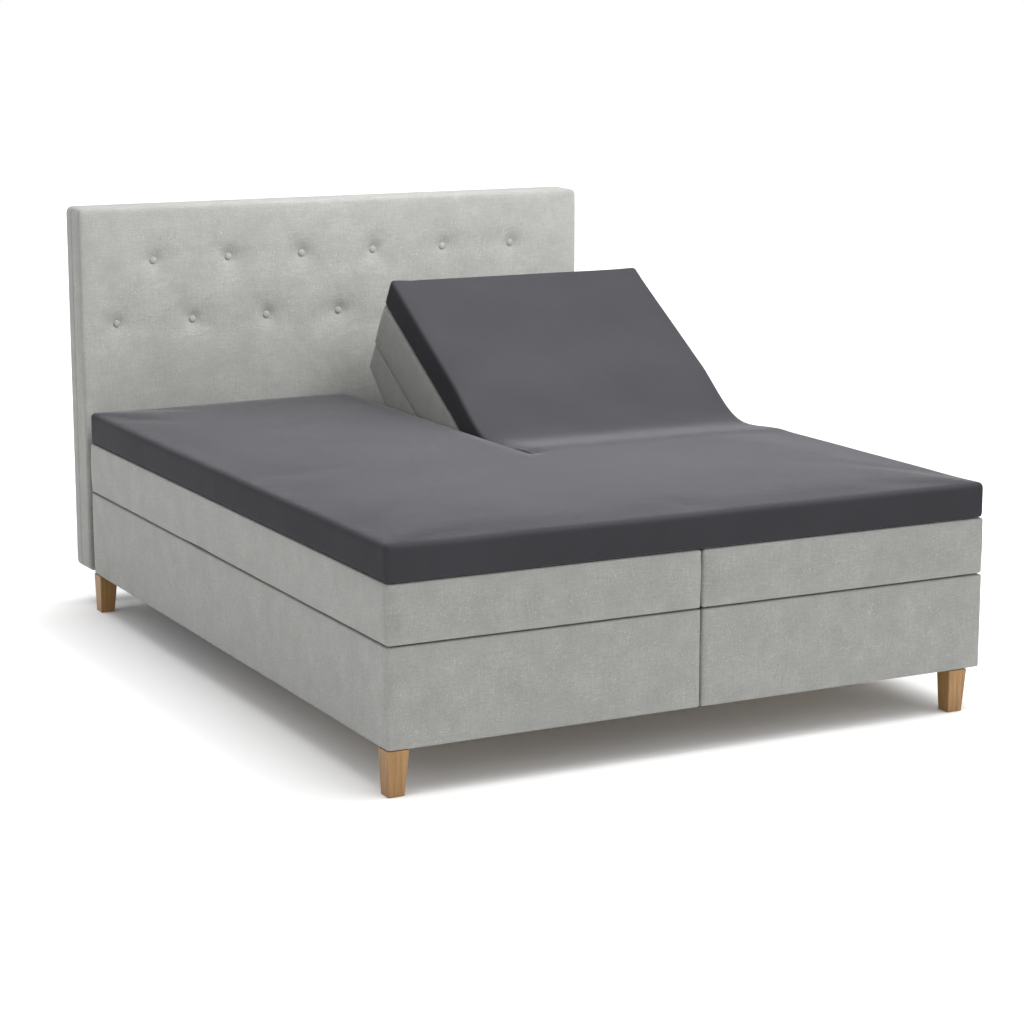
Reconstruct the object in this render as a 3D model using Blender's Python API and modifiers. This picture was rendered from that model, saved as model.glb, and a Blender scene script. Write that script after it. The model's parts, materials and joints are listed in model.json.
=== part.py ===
"""Adjustable double bed: two upholstered units with lifting backs and leg rests, a topper and a headboard.

Metres, +Z up, the head end towards +Y. The origin is under the middle of the whole bed, on the floor.
The right back section is stored raised, and everything else flat.
"""

from math import cos, pi, radians, sin, tan

import bmesh
import bpy
from mathutils import Matrix, Vector

# ---------------------------------------------------------------- driving dimensions
BED_WIDTH = 1.600
BED_LENGTH = 2.000
LEG_HEIGHT = 0.105
BASE_TOP = 0.3377
MATTRESS_BOTTOM = 0.338
MATTRESS_TOP = 0.478
TOPPER_BOTTOM = 0.4783
TOPPER_TOP = 0.570
TOUCH = 0.0003

HEADBOARD_WIDTH = 1.580
HEADBOARD_BOTTOM = 0.095
HEADBOARD_TOP = 1.130
HEADBOARD_GAP = 0.055
HEADBOARD_PAD = 0.072
HEADBOARD_BOARD = 0.043

TOTAL_LENGTH = BED_LENGTH + HEADBOARD_GAP + HEADBOARD_PAD + HEADBOARD_BOARD
FOOT_Y = -TOTAL_LENGTH / 2
HEAD_Y = FOOT_Y + BED_LENGTH

# How far each layer stays inside the bed's outline, and from the bed's centre line.
MATTRESS_INSET = 0.004
BASE_INSET = 0.003
MATTRESS_INNER = 0.0025
TOPPER_INNER = 0.0015
BASE_INNER = 0.0020
HALF_WIDTH = BED_WIDTH / 2

PANEL = 0.027
INNER_PANEL = 0.020
UNIT_CENTRE = 0.3985
DECK = 0.018
DECK_SIDE_GAP = 0.005

# ---------------------------------------------------------------- hinges
BACK_PIVOT = (HEAD_Y - 0.790, 0.233)
BACK_RAISE = radians(62)
RIGHT_BACK_AT_REST = radians(31.5)
THIGH_PIVOT = (HEAD_Y - 1.210, 0.290)
THIGH_RAISE = radians(30)
KNEE_PIVOT = (HEAD_Y - 1.540, 0.308)
BEND_CLEARANCE = 0.004

HINGE_TUBE_RADIUS = 0.0125
HINGE_BORE_RADIUS = 0.0131
KNEE_PIN_RADIUS = 0.0050
KNEE_BORE_RADIUS = 0.0055
KNUCKLE_RADIUS = 0.0090

# ---------------------------------------------------------------- drive
ROD_HEIGHT = 0.154
BACK_LEVER = 0.085
THIGH_LEVER = THIGH_PIVOT[1] - ROD_HEIGHT
LEVER_PIN_RADIUS = 0.006
SLOT_CLEARANCE = 0.0013
ROD_RADIUS = 0.010
ROD_BORE_RADIUS = 0.0108
MOTOR_HALF_WIDTH = 0.045
MOTOR_FOOT_Y = THIGH_PIVOT[0] + 0.090
MOTOR_HEAD_Y = BACK_PIVOT[0] - 0.130
MOTOR_BORE_LENGTH = 0.098
ROD_INSIDE_MOTOR = 0.095

SIDES = {"left": -1, "right": 1}

# name: (red, green, blue, roughness, metallic)
COLOURS = {
    "grey_weave": (0.44, 0.45, 0.43, 0.90, 0.0),
    "dark_sheet": (0.10, 0.10, 0.11, 0.85, 0.0),
    "oak": (0.42, 0.25, 0.11, 0.45, 0.0),
    "pine": (0.58, 0.44, 0.28, 0.60, 0.0),
    "plywood": (0.50, 0.38, 0.25, 0.55, 0.0),
    "black_steel": (0.03, 0.03, 0.035, 0.40, 0.8),
    "zinc_steel": (0.55, 0.56, 0.57, 0.35, 1.0),
    "motor_plastic": (0.04, 0.04, 0.045, 0.50, 0.0),
}


# ---------------------------------------------------------------- scene and materials
def clear_scene():
    for obj in list(bpy.data.objects):
        bpy.data.objects.remove(obj, do_unlink=True)


def new_collection(name, hidden=False):
    collection = bpy.data.collections.new(name)
    collection.hide_render = hidden
    bpy.context.scene.collection.children.link(collection)
    return collection


def material_for(name, colour):
    """A material of its own for one sub-part."""
    red, green, blue, roughness, metallic = COLOURS[colour]
    material = bpy.data.materials.new(name + "_material")
    material.use_nodes = True
    shader = material.node_tree.nodes["Principled BSDF"]
    shader.inputs["Base Color"].default_value = (red, green, blue, 1)
    shader.inputs["Roughness"].default_value = roughness
    shader.inputs["Metallic"].default_value = metallic
    return material


# ---------------------------------------------------------------- solids
def mesh_of(bm):
    bmesh.ops.recalc_face_normals(bm, faces=bm.faces)
    mesh = bpy.data.meshes.new("shape")
    bm.to_mesh(mesh)
    bm.free()
    return mesh


def box(low, high):
    """A box between two corners, given in any order."""
    low, high = Vector(map(min, low, high)), Vector(map(max, low, high))
    bm = bmesh.new()
    bmesh.ops.create_cube(bm, size=1)
    bmesh.ops.scale(bm, vec=high - low, verts=bm.verts)
    bmesh.ops.translate(bm, vec=(low + high) / 2, verts=bm.verts)
    return mesh_of(bm)


def unit_box(sign, across, along, up):
    """A box of one unit: across is measured outwards from the bed's centre line."""
    return box((sign * across[0], along[0], up[0]), (sign * across[1], along[1], up[1]))


def rod(centre, radius, length, axis, segments=24):
    """A round bar through centre along axis, X or Y or Z."""
    turn = {"X": Matrix.Rotation(pi / 2, 4, "Y"), "Y": Matrix.Rotation(pi / 2, 4, "X"), "Z": Matrix()}
    bm = bmesh.new()
    bmesh.ops.create_cone(
        bm,
        cap_ends=True,
        segments=segments,
        radius1=radius,
        radius2=radius,
        depth=length,
        matrix=Matrix.Translation(centre) @ turn[axis],
    )
    return mesh_of(bm)


def side_profile(outline, x_low, x_high):
    """The solid of an outline of (y, z) points, from x_low to x_high."""
    curve = bpy.data.curves.new("outline", "CURVE")
    curve.dimensions = "2D"
    curve.fill_mode = "BOTH"
    curve.extrude = abs(x_high - x_low) / 2
    spline = curve.splines.new("POLY")
    spline.points.add(len(outline) - 1)
    for point, (y, z) in zip(spline.points, outline):
        point.co = (y, z, 0, 1)
    spline.use_cyclic_u = True
    guide = bpy.data.objects.new("outline", curve)
    bpy.context.scene.collection.objects.link(guide)
    graph = bpy.context.evaluated_depsgraph_get()
    mesh = bpy.data.meshes.new_from_object(guide.evaluated_get(graph))
    bpy.data.objects.remove(guide)
    bpy.data.curves.remove(curve)
    to_side = Matrix(((0, 0, 1, (x_low + x_high) / 2), (1, 0, 0, 0), (0, 1, 0, 0), (0, 0, 0, 1)))
    bm = bmesh.new()
    bm.from_mesh(mesh)
    bmesh.ops.remove_doubles(bm, verts=bm.verts, dist=0.00001)
    bmesh.ops.transform(bm, matrix=to_side, verts=bm.verts)
    return mesh_of(bm)


def unit_profile(sign, outline, across):
    return side_profile(outline, *sorted((sign * across[0], sign * across[1])))


def combined(base, others, operation):
    """The base mesh after a Boolean with each of the other meshes in turn."""
    for other in others:
        target = bpy.data.objects.new("target", base)
        tool = bpy.data.objects.new("tool", other)
        CUTTERS.objects.link(target)
        CUTTERS.objects.link(tool)
        modifier = target.modifiers.new("combine", "BOOLEAN")
        modifier.operation = operation
        modifier.solver = "EXACT"
        modifier.object = tool
        graph = bpy.context.evaluated_depsgraph_get()
        base = bpy.data.meshes.new_from_object(target.evaluated_get(graph))
        bpy.data.objects.remove(target)
        bpy.data.objects.remove(tool)
    return base


def joined(shapes):
    return combined(shapes[0], shapes[1:], "UNION")


def cut(shape, tools):
    return combined(shape, tools, "DIFFERENCE")


# ---------------------------------------------------------------- placing
def pivot_empty(name, pivot, angle=0.0):
    """An empty on a hinge's axis, turned to where the body stands at rest."""
    empty = bpy.data.objects.new(name, None)
    empty.location = (0, *pivot)
    empty.rotation_euler = (angle, 0, 0)
    PARTS.objects.link(empty)
    return empty


def place(name, mesh, colour, parent=None, bevel=0.0, segments=2, smooth=False):
    """Adds the sub-part. Its mesh is drawn with the bed flat, and its origin is its parent's."""
    mesh.name = name
    if parent is not None:
        mesh.transform(Matrix.Translation(-parent.location))
    mesh.materials.clear()
    mesh.materials.append(material_for(name, colour))
    if smooth:
        mesh.shade_smooth()
        mesh.set_sharp_from_angle(angle=radians(35))
    obj = bpy.data.objects.new(name, mesh)
    obj.parent = parent
    PARTS.objects.link(obj)
    if bevel:
        modifier = obj.modifiers.new("soft edges", "BEVEL")
        modifier.width = bevel
        modifier.segments = segments
        modifier.limit_method = "ANGLE"
        modifier.angle_limit = radians(40)
    return obj


def turned(point, pivot, angle):
    """A (y, z) point turned about a pivot, the head end going up."""
    y, z = point[0] - pivot[0], point[1] - pivot[1]
    return (pivot[0] + y * cos(angle) - z * sin(angle), pivot[1] + y * sin(angle) + z * cos(angle))


def face_y(pivot, half_angle, side, z):
    """Where a soft section's end face stands at height z: it leans away from the bend over the pivot."""
    return pivot[0] + side * (BEND_CLEARANCE + (z - pivot[1]) * tan(half_angle))


# ---------------------------------------------------------------- headboard
def build_headboard():
    half = HEADBOARD_WIDTH / 2
    front = HEAD_Y + HEADBOARD_GAP
    middle = front + HEADBOARD_PAD
    pad = box((-half, front, HEADBOARD_BOTTOM), (half, middle, HEADBOARD_TOP))
    place("headboard_pad", pad, "grey_weave", bevel=0.016, segments=3)
    board = box(
        (-half, middle + TOUCH, HEADBOARD_BOTTOM),
        (half, middle + HEADBOARD_BOARD, HEADBOARD_TOP),
    )
    place("headboard_board", board, "pine", bevel=0.010)
    for side, sign in SIDES.items():
        bracket = unit_box(
            sign,
            (0.430, 0.480),
            (HEAD_Y - BASE_INSET + TOUCH, front - TOUCH),
            (0.140, 0.200),
        )
        place(f"headboard_bracket_{side}", bracket, "black_steel", bevel=0.002)


# ---------------------------------------------------------------- base box
INNER_STEP_Y = BACK_PIVOT[0] - 0.062
INNER_LOW_TOP = 0.205
HEAD_PANEL_TOP = 0.245
OUTER_FACE = HALF_WIDTH - BASE_INSET
INSIDE_OUTER = OUTER_FACE - PANEL
INSIDE_INNER = BASE_INNER + INNER_PANEL


def build_base_box(side, sign):
    foot = FOOT_Y + BASE_INSET
    head = HEAD_Y - BASE_INSET
    outer = unit_box(sign, (INSIDE_OUTER, OUTER_FACE), (foot, head), (LEG_HEIGHT, BASE_TOP))
    place(f"base_side_outer_{side}", outer, "grey_weave", bevel=0.004)

    across = (BASE_INNER, INSIDE_OUTER - TOUCH)
    foot_panel = unit_box(sign, across, (foot, foot + PANEL), (LEG_HEIGHT, BASE_TOP))
    place(f"base_foot_{side}", foot_panel, "grey_weave", bevel=0.004)

    # The inner side steps down beside the lifting back, whose own inner edge fills the step.
    start = foot + PANEL + TOUCH
    outline = [
        (start, LEG_HEIGHT),
        (head, LEG_HEIGHT),
        (head, INNER_LOW_TOP),
        (INNER_STEP_Y, INNER_LOW_TOP),
        (INNER_STEP_Y, BASE_TOP),
        (start, BASE_TOP),
    ]
    inner = unit_profile(sign, outline, (BASE_INNER, INSIDE_INNER))
    place(f"base_side_inner_{side}", inner, "grey_weave")

    across = (INSIDE_INNER + TOUCH, INSIDE_OUTER - TOUCH)
    head_panel = unit_box(sign, across, (head - PANEL, head), (LEG_HEIGHT, HEAD_PANEL_TOP))
    place(f"base_head_{side}", head_panel, "grey_weave", bevel=0.004)


# ---------------------------------------------------------------- legs
LEG_TOP_SIZE = 0.052
LEG_TAPER = 0.012
# The left-hand legs stand flush with the corner and the right-hand ones stand in from the side.
LEG_INSET = {"left": 0.0, "right": 0.038}


def oak_leg(left_x, front_y):
    """A square leg: its left and front faces are upright, and its right and back faces taper."""
    bm = bmesh.new()
    bmesh.ops.create_cube(bm, size=1)
    size = Vector((LEG_TOP_SIZE, LEG_TOP_SIZE, LEG_HEIGHT - TOUCH))
    bmesh.ops.scale(bm, vec=size, verts=bm.verts)
    centre = Vector((left_x, front_y, 0)) + size / 2
    bmesh.ops.translate(bm, vec=centre, verts=bm.verts)
    foot = [vert for vert in bm.verts if vert.co.z < centre.z]
    for vert in foot:
        vert.co.x -= LEG_TAPER if vert.co.x > centre.x else 0
        vert.co.y -= LEG_TAPER if vert.co.y > centre.y else 0
    return mesh_of(bm)


def build_oak_legs(side, sign):
    edge = HALF_WIDTH - BASE_INSET - LEG_INSET[side]
    left_x = -edge if sign < 0 else edge - LEG_TOP_SIZE
    fronts = {"foot": FOOT_Y + BASE_INSET, "head": HEAD_Y - BASE_INSET - LEG_TOP_SIZE}
    for end, front_y in fronts.items():
        place(f"leg_{end}_{side}", oak_leg(left_x, front_y), "oak", bevel=0.0015)


CENTRE_LEG_OFFSET = 0.450


def build_centre_legs():
    """Steel legs whose plates join the two units under their inner sides."""
    middle = FOOT_Y + BED_LENGTH / 2
    for end, offset in (("foot", -CENTRE_LEG_OFFSET), ("head", CENTRE_LEG_OFFSET)):
        y = middle + offset
        plate = box((-0.060, y - 0.040, 0.1007), (0.060, y + 0.040, LEG_HEIGHT - TOUCH))
        stem = rod((0, y, 0.0545), 0.020, 0.097, "Z")
        foot = rod((0, y, 0.004), 0.027, 0.008, "Z")
        place(f"centre_leg_{end}", joined([plate, stem, foot]), "black_steel", smooth=True)


# ---------------------------------------------------------------- mechanism
EAR_THICKNESS = 0.006
BACK_EAR_OFFSET = 0.300
THIGH_EAR_OFFSET = 0.280
CROSS_TUBE = (0.255, 0.305)
BACK_TUBE_Y = (BACK_PIVOT[0] - 0.115, BACK_PIVOT[0] - 0.085)
THIGH_TUBE_Y = (THIGH_PIVOT[0] + 0.045, THIGH_PIVOT[0] + 0.075)
MOTOR_PLATE = 0.005
MOTOR_PLATE_BOTTOM = 0.170


def ear(sign, u, outline, pivot):
    """A bearing plate at u from the bed's centre line, with its bore."""
    plate = unit_profile(sign, outline, (u - EAR_THICKNESS / 2, u + EAR_THICKNESS / 2))
    return cut(plate, [rod((sign * u, *pivot), HINGE_BORE_RADIUS, 4 * EAR_THICKNESS, "X")])


def build_mechanism_frame(side, sign):
    across = (INSIDE_INNER + TOUCH, INSIDE_OUTER - TOUCH)
    shapes = [
        unit_box(sign, across, BACK_TUBE_Y, CROSS_TUBE),
        unit_box(sign, across, THIGH_TUBE_Y, CROSS_TUBE),
    ]
    for way in (-1, 1):
        inner = MOTOR_HALF_WIDTH + TOUCH
        plate = sorted((UNIT_CENTRE + way * inner, UNIT_CENTRE + way * (inner + MOTOR_PLATE)))
        along = (THIGH_TUBE_Y[0] + 0.004, BACK_TUBE_Y[1] - 0.004)
        shapes.append(unit_box(sign, plate, along, (MOTOR_PLATE_BOTTOM, CROSS_TUBE[1] - 0.004)))

    y, z = BACK_PIVOT
    back_ear = [
        (y - 0.100, 0.302),
        (y + 0.006, z + 0.021),
        (y + 0.021, z + 0.008),
        (y + 0.021, z - 0.008),
        (y + 0.008, z - 0.021),
        (y - 0.012, z - 0.021),
        (y - 0.100, 0.258),
    ]
    for way in (-1, 1):
        shapes.append(ear(sign, UNIT_CENTRE + way * BACK_EAR_OFFSET, back_ear, BACK_PIVOT))
    y, z = THIGH_PIVOT
    thigh_ear = [
        (y + 0.060, 0.302),
        (y - 0.004, z + 0.0175),
        (y - 0.0175, z + 0.006),
        (y - 0.0175, z - 0.008),
        (y - 0.006, z - 0.0175),
        (y + 0.060, 0.258),
    ]
    for way in (-1, 1):
        shapes.append(ear(sign, UNIT_CENTRE + way * THIGH_EAR_OFFSET, thigh_ear, THIGH_PIVOT))
    place(f"mechanism_frame_{side}", joined(shapes), "black_steel")


def build_motor(side, sign):
    centre = sign * UNIT_CENTRE
    body = box(
        (centre - MOTOR_HALF_WIDTH, MOTOR_FOOT_Y, 0.116),
        (centre + MOTOR_HALF_WIDTH, MOTOR_HEAD_Y, 0.196),
    )
    bores = [
        rod((centre, y, ROD_HEIGHT), ROD_BORE_RADIUS, 2 * MOTOR_BORE_LENGTH, "Y", segments=20)
        for y in (MOTOR_FOOT_Y, MOTOR_HEAD_Y)
    ]
    place(f"motor_{side}", cut(body, bores), "motor_plastic")


def lever_shapes(sign, pivot, length, angle):
    """Two plates hanging from the hinge tube, at angle towards the head, and the pin across their ends."""
    centre = sign * UNIT_CENTRE
    tip = (pivot[0] + length * sin(angle), pivot[1] - length * cos(angle))
    along = Vector((sin(angle), -cos(angle)))
    across = Vector((cos(angle), sin(angle))) * 0.010
    start, end = Vector(pivot), Vector(tip) + along * 0.010
    outline = [tuple(start - across), tuple(start + across), tuple(end + across), tuple(end - across)]
    shapes = [
        side_profile(outline, centre + way * 0.014 - 0.0025, centre + way * 0.014 + 0.0025)
        for way in (-1, 1)
    ]
    shapes.append(rod((centre, *tip), LEVER_PIN_RADIUS, 0.036, "X", segments=20))
    return shapes


def build_drive_rod(name, sign, parent, way, yoke_y):
    """A push rod that slides out of the motor towards way, with a slotted head round the lever's pin."""
    centre = sign * UNIT_CENTRE
    head_half = 0.017
    head = box(
        (centre - 0.006, yoke_y - head_half, ROD_HEIGHT - 0.026),
        (centre + 0.006, yoke_y + head_half, ROD_HEIGHT + 0.026),
    )
    half_slot = LEVER_PIN_RADIUS + SLOT_CLEARANCE
    slot = box(
        (centre - 0.02, yoke_y - half_slot, ROD_HEIGHT - 0.015),
        (centre + 0.02, yoke_y + half_slot, ROD_HEIGHT + 0.016),
    )
    near_head = yoke_y - way * (head_half - 0.004)
    start = near_head - way * rod_length(way)
    middle = (start + near_head) / 2
    stem = rod((centre, middle, ROD_HEIGHT), ROD_RADIUS, abs(near_head - start), "Y")
    place(name, cut(joined([head, stem]), [slot]), "zinc_steel", parent=parent, smooth=True)


def rod_length(way):
    """From the yoke's near face to the rod's end inside the motor, worked out with the bed flat."""
    if way > 0:
        return back_yoke_y(0.0) - 0.013 - (MOTOR_HEAD_Y - ROD_INSIDE_MOTOR)
    return (MOTOR_FOOT_Y + ROD_INSIDE_MOTOR) - (thigh_yoke_y() + 0.013)


def back_yoke_y(back_angle):
    """The yoke's place along the bed: it follows the back section's angle at a constant rate."""
    half = BACK_RAISE / 2
    travel_per_radian = BACK_LEVER * sin(half) / half
    return BACK_PIVOT[0] + travel_per_radian * (back_angle - half)


def thigh_yoke_y():
    return THIGH_PIVOT[0] + THIGH_LEVER * sin(THIGH_RAISE / 2)


# ---------------------------------------------------------------- lifting back section
# The tray is the upholstered wooden box that carries the mattress's back length.
TRAY_OUTER = INSIDE_OUTER - DECK_SIDE_GAP
TRAY_INNER = 0.004
TRAY_BOTTOM = 0.213
TRAY_HEAD_BOTTOM = 0.253
TRAY_SLOPE_LENGTH = 0.200
TRAY_FOOT_OFFSET = 0.0165
ARM_OFFSET = 0.1905
ARM_THICKNESS = 0.007


def tray_mesh(sign):
    """The padded box section under the back, with the bed flat: it is notched round the bearing plates."""
    y, z = BACK_PIVOT
    head = HEAD_Y - MATTRESS_INSET
    foot_top = y + TRAY_FOOT_OFFSET + (BASE_TOP - z) * tan(BACK_RAISE / 2)
    outline = [
        (y + TRAY_FOOT_OFFSET, TRAY_BOTTOM),
        (head - TRAY_SLOPE_LENGTH, TRAY_BOTTOM),
        (head, TRAY_HEAD_BOTTOM),
        (head, BASE_TOP),
        (foot_top, BASE_TOP),
        (y + TRAY_FOOT_OFFSET, z),
    ]
    body = unit_profile(sign, outline, (TRAY_INNER, TRAY_OUTER))
    tools = []
    for way in (-1, 1):
        u = UNIT_CENTRE + way * BACK_EAR_OFFSET
        half = EAR_THICKNESS / 2 + 0.0025
        tools.append(unit_box(sign, (u - half, u + half), (y - 0.02, y + 0.050), (0.19, 0.36)))
    return cut(body, tools)


def back_lift_arm_mesh(sign):
    y, z = BACK_PIVOT
    centre = sign * UNIT_CENTRE
    shapes = [rod((centre, y, z), HINGE_TUBE_RADIUS, 0.640, "X")]
    shapes += lever_shapes(sign, BACK_PIVOT, BACK_LEVER, -BACK_RAISE / 2)
    top = TRAY_BOTTOM - TOUCH
    for way in (-1, 1):
        u = UNIT_CENTRE + way * ARM_OFFSET
        across = (u - 0.015, u + 0.015)
        shapes.append(unit_box(sign, across, (y - 0.010, y + 0.015), (top - ARM_THICKNESS, z - 0.003)))
        shapes.append(unit_box(sign, across, (y - 0.010, y + 0.300), (top - ARM_THICKNESS, top)))
    return joined(shapes)


def build_back_section(side, sign):
    angle = RIGHT_BACK_AT_REST if side == "right" else 0.0
    hinge = pivot_empty(f"back_hinge_{side}", BACK_PIVOT, angle)
    place(f"back_tray_{side}", tray_mesh(sign), "plywood", parent=hinge)
    place(f"back_lift_arm_{side}", back_lift_arm_mesh(sign), "black_steel", parent=hinge, smooth=True)

    half = BACK_RAISE / 2
    head = HEAD_Y - MATTRESS_INSET
    mattress = [
        (face_y(BACK_PIVOT, half, 1, MATTRESS_BOTTOM), MATTRESS_BOTTOM),
        (head, MATTRESS_BOTTOM),
        (head, MATTRESS_TOP),
        (face_y(BACK_PIVOT, half, 1, MATTRESS_TOP), MATTRESS_TOP),
    ]
    across = (MATTRESS_INNER, HALF_WIDTH - MATTRESS_INSET)
    place(f"mattress_back_{side}", unit_profile(sign, mattress, across), "grey_weave", parent=hinge)
    topper = [
        (face_y(BACK_PIVOT, half, 1, TOPPER_BOTTOM), TOPPER_BOTTOM),
        (HEAD_Y, TOPPER_BOTTOM),
        (HEAD_Y, TOPPER_TOP),
        (face_y(BACK_PIVOT, half, 1, TOPPER_TOP), TOPPER_TOP),
    ]
    across = (TOPPER_INNER, HALF_WIDTH)
    place(f"topper_back_{side}", unit_profile(sign, topper, across), "dark_sheet", parent=hinge)

    slide = pivot_empty(f"back_rod_slide_{side}", (back_yoke_y(angle), ROD_HEIGHT))
    build_drive_rod(f"back_rod_{side}", sign, slide, 1, back_yoke_y(angle))
    build_back_bend(side, sign, angle)


def back_bend_outline(z_low, z_high, angle):
    """The soft wedge between the seat's face and the back's face, as the bend stands at rest."""
    half = BACK_RAISE / 2
    seat = [(face_y(BACK_PIVOT, half, -1, z) + 0.001, z) for z in (z_low, z_high)]
    back = [(face_y(BACK_PIVOT, half, 1, z) - 0.001, z) for z in (z_low, z_high)]
    back = [turned(point, BACK_PIVOT, angle) for point in back]
    return [seat[0], back[0], back[1], seat[1]]


def build_back_bend(side, sign, angle):
    outline = back_bend_outline(MATTRESS_BOTTOM, MATTRESS_TOP, angle)
    across = (MATTRESS_INNER, HALF_WIDTH - MATTRESS_INSET)
    place(f"mattress_back_bend_{side}", unit_profile(sign, outline, across), "grey_weave")
    outline = back_bend_outline(TOPPER_BOTTOM, TOPPER_TOP, angle)
    place(f"topper_back_bend_{side}", unit_profile(sign, outline, (TOPPER_INNER, HALF_WIDTH)), "dark_sheet")


# ---------------------------------------------------------------- fixed seat section
def seat_outline(z_low, z_high):
    def thigh_end(z):
        return face_y(THIGH_PIVOT, THIGH_RAISE / 2, 1, z)

    def back_end(z):
        return face_y(BACK_PIVOT, BACK_RAISE / 2, -1, z)

    return [
        (thigh_end(z_low), z_low),
        (back_end(z_low), z_low),
        (back_end(z_high), z_high),
        (thigh_end(z_high), z_high),
    ]


def build_seat(side, sign):
    across = (INSIDE_INNER + TOUCH, INSIDE_OUTER - TOUCH)
    along = (THIGH_PIVOT[0] + 0.030, INNER_STEP_Y)
    deck = unit_box(sign, across, along, (BASE_TOP - DECK, BASE_TOP))
    place(f"seat_platform_{side}", deck, "plywood")
    across = (MATTRESS_INNER, HALF_WIDTH - MATTRESS_INSET)
    mattress = unit_profile(sign, seat_outline(MATTRESS_BOTTOM, MATTRESS_TOP), across)
    place(f"mattress_seat_{side}", mattress, "grey_weave")


# ---------------------------------------------------------------- leg rest: thigh and calf
THIGH_ARM_OFFSET = 0.150
KNUCKLE_OFFSET = 0.150
LUG_OFFSET = 0.220


def thigh_lift_arm_mesh(sign):
    y, z = THIGH_PIVOT
    centre = sign * UNIT_CENTRE
    shapes = [rod((centre, y, z), HINGE_TUBE_RADIUS, 0.600, "X")]
    shapes += lever_shapes(sign, THIGH_PIVOT, THIGH_LEVER, THIGH_RAISE / 2)
    top = BASE_TOP - DECK - TOUCH
    for way in (-1, 1):
        u = UNIT_CENTRE + way * THIGH_ARM_OFFSET
        across = (u - 0.015, u + 0.015)
        shapes.append(unit_box(sign, across, (y - 0.010, y + 0.010), (z + 0.003, top)))
        shapes.append(unit_box(sign, across, (y - 0.270, y + 0.010), (top - ARM_THICKNESS, top)))
    return joined(shapes)


def knee_hinge_mesh(sign):
    """The knee pin with two knuckles on leaves under the thigh board."""
    y, z = KNEE_PIVOT
    shapes = [rod((sign * UNIT_CENTRE, y, z), KNEE_PIN_RADIUS, 0.560, "X", segments=20)]
    top = BASE_TOP - DECK - TOUCH
    for way in (-1, 1):
        u = UNIT_CENTRE + way * KNUCKLE_OFFSET
        shapes.append(rod((sign * u, y, z), KNUCKLE_RADIUS, 0.040, "X", segments=20))
        shapes.append(unit_box(sign, (u - 0.020, u + 0.020), (y + 0.0035, y + 0.050), (z + 0.002, top)))
    return joined(shapes)


def calf_platform_mesh(sign):
    """The calf board with two bored lugs round the knee pin."""
    y, z = KNEE_PIVOT
    across = (INSIDE_INNER + DECK_SIDE_GAP, TRAY_OUTER)
    foot = FOOT_Y + BASE_INSET + PANEL + DECK_SIDE_GAP
    shapes = [unit_box(sign, across, (foot, y - 0.0015), (BASE_TOP - DECK, BASE_TOP))]
    bores = []
    for way in (-1, 1):
        u = UNIT_CENTRE + way * LUG_OFFSET
        shapes.append(rod((sign * u, y, z), KNUCKLE_RADIUS, 0.030, "X", segments=20))
        lug_top = BASE_TOP - DECK + 0.004
        shapes.append(unit_box(sign, (u - 0.015, u + 0.015), (y - 0.040, y - 0.003), (z - 0.007, lug_top)))
        bores.append(rod((sign * u, y, z), KNEE_BORE_RADIUS, 0.060, "X", segments=20))
    return cut(joined(shapes), bores)


def thigh_outline(z_low, z_high):
    def hip_end(z):
        return face_y(THIGH_PIVOT, THIGH_RAISE / 2, -1, z)

    knee = KNEE_PIVOT[0] + TOUCH
    return [(knee, z_low), (hip_end(z_low), z_low), (hip_end(z_high), z_high), (knee, z_high)]


def hip_bend_outline(z_low, z_high):
    half = THIGH_RAISE / 2
    thigh = [(face_y(THIGH_PIVOT, half, -1, z) + 0.001, z) for z in (z_low, z_high)]
    seat = [(face_y(THIGH_PIVOT, half, 1, z) - 0.001, z) for z in (z_low, z_high)]
    return [thigh[0], seat[0], seat[1], thigh[1]]


def build_leg_rest(side, sign):
    hip = pivot_empty(f"thigh_hinge_{side}", THIGH_PIVOT)
    knee = pivot_empty(f"knee_hinge_axis_{side}", KNEE_PIVOT)
    across = (INSIDE_INNER + DECK_SIDE_GAP, TRAY_OUTER)
    along = (KNEE_PIVOT[0] + 0.0015, THIGH_PIVOT[0])
    deck = unit_box(sign, across, along, (BASE_TOP - DECK, BASE_TOP))
    place(f"thigh_platform_{side}", deck, "plywood", parent=hip)
    place(f"thigh_lift_arm_{side}", thigh_lift_arm_mesh(sign), "black_steel", parent=hip, smooth=True)
    place(f"knee_hinge_{side}", knee_hinge_mesh(sign), "zinc_steel", parent=hip, smooth=True)
    place(f"calf_platform_{side}", calf_platform_mesh(sign), "plywood", parent=knee)

    soft = (MATTRESS_INNER, HALF_WIDTH - MATTRESS_INSET)
    thigh = unit_profile(sign, thigh_outline(MATTRESS_BOTTOM, MATTRESS_TOP), soft)
    place(f"mattress_thigh_{side}", thigh, "grey_weave", parent=hip)
    calf = unit_box(
        sign,
        soft,
        (FOOT_Y + MATTRESS_INSET, KNEE_PIVOT[0] - TOUCH),
        (MATTRESS_BOTTOM, MATTRESS_TOP),
    )
    place(f"mattress_calf_{side}", calf, "grey_weave", parent=knee)
    bend = unit_profile(sign, hip_bend_outline(MATTRESS_BOTTOM, MATTRESS_TOP), soft)
    place(f"mattress_hip_bend_{side}", bend, "grey_weave")

    slide = pivot_empty(f"leg_rod_slide_{side}", (thigh_yoke_y(), ROD_HEIGHT))
    build_drive_rod(f"leg_rod_{side}", sign, slide, -1, thigh_yoke_y())
    return hip, knee


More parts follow.
